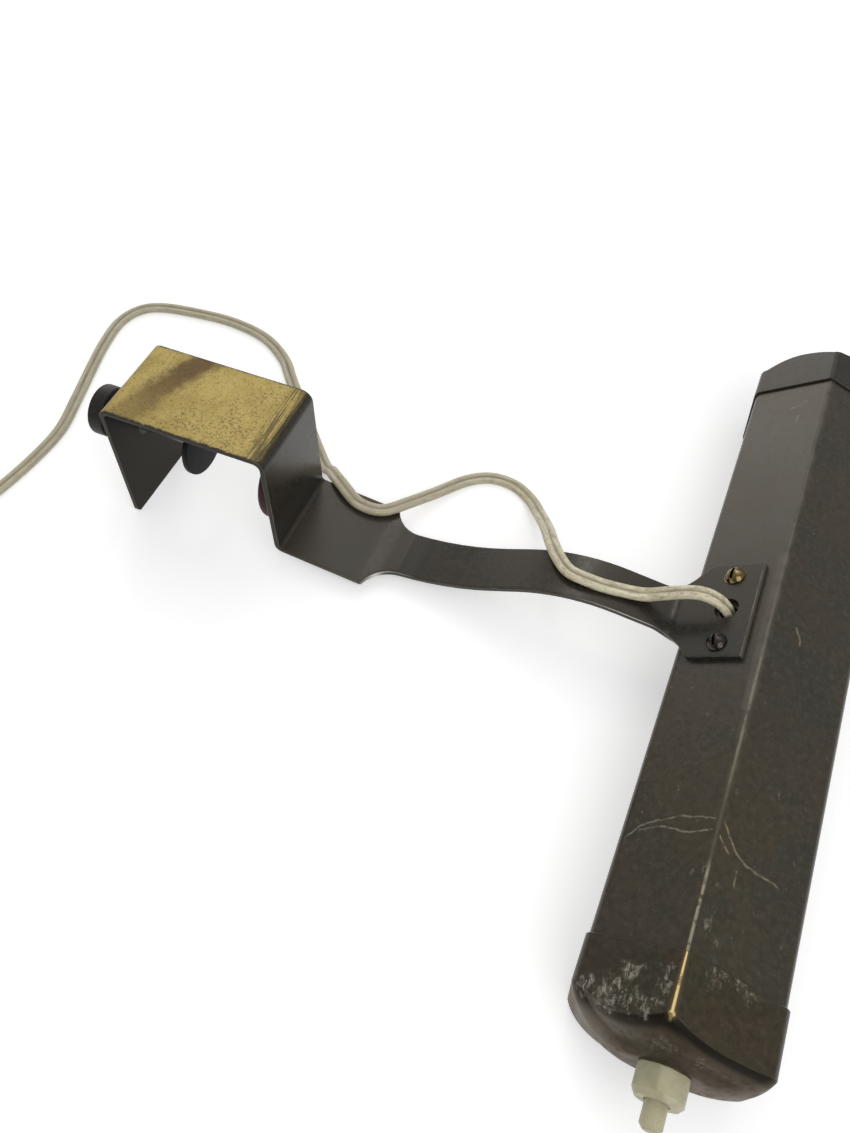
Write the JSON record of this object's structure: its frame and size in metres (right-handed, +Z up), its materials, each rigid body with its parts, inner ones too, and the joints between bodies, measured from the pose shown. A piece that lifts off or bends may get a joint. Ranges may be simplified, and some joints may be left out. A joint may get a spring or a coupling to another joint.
{
  "type": "clamp-on bed and picture light",
  "caption": "Clamp-on light in dark patinated brass: strip clamp with knob, fixed S-curved arm, roofed tube shade with end caps, push switch and flat twin cord.",
  "frame": {"origin": "middle of the clamp's saddle, the underside of its top plate, which sits on the board's edge", "axes": "+X from the clamp along the arm to the shade, +Y along the shade away from the switch, +Z up"},
  "size_m": [0.4292, 0.2956, 0.058],
  "materials": {
    "patinated_brass": "dark brown patina, worn to bare brass on edges and the clamp's top",
    "worn_brass": "worn brass",
    "plated_steel": "dull plated",
    "black_moulding": "moulded, half gloss",
    "red_rubber": "matt, dark red",
    "ivory_moulding": "moulded, half gloss, grubby",
    "white_moulding": "moulded, half gloss",
    "opal_glass": "opal",
    "cord_sheath": "flexible sheath, grubby off-white"
  },
  "bodies": {
    "lamp": {"arm_bracket": "patinated_brass", "screw_bush": "patinated_brass", "jaw_pad": "red_rubber", "shade": "patinated_brass", "switch_end_cap": "patinated_brass", "far_end_cap": "patinated_brass", "bracket_screws": "worn_brass", "bracket_washers": "plated_steel", "bracket_nuts": "worn_brass", "switch_body": "ivory_moulding", "switch_collar": "ivory_moulding", "switch_terminals": "worn_brass", "holder_bracket": "plated_steel", "lampholder": "white_moulding", "holder_nut": "worn_brass", "holder_terminals": "worn_brass", "lamp_cap": "worn_brass", "lamp_glass": "opal_glass", "switch_lead": "cord_sheath", "holder_lead": "cord_sheath", "link_lead": "cord_sheath", "cord": "cord_sheath", "cord_coil": "cord_sheath", "coil_tie": "ivory_moulding", "plug_body": "ivory_moulding", "plug_pins": "plated_steel"},
    "pad": {"pressure_pad": "black_moulding"},
    "screw": {"clamp_screw": "plated_steel", "clamp_knob": "black_moulding"},
    "button": {"switch_button": "ivory_moulding"}
  },
  "joints": [
    {"name": "pad_slide", "type": "slide", "parent": "lamp", "child": "pad", "axis": [1, 0, 0], "range_m": [-0.022, 0.006]},
    {"name": "screw_turn", "type": "hinge", "parent": "pad", "child": "screw", "pos_m": [-0.0086, 0, -0.022], "axis": [1, 0, 0], "range_deg": [-7920, 2160]},
    {"name": "button_press", "type": "slide", "parent": "lamp", "child": "button", "axis": [0, 1, 0], "range_m": [0, 0.003], "stiffness_N_per_m": 400, "springref_m": -0.002}
  ],
  "couplings": [
    {"joint": "screw_turn", "follows": "pad_slide", "rad_per_m": 6283.2}
  ]
}
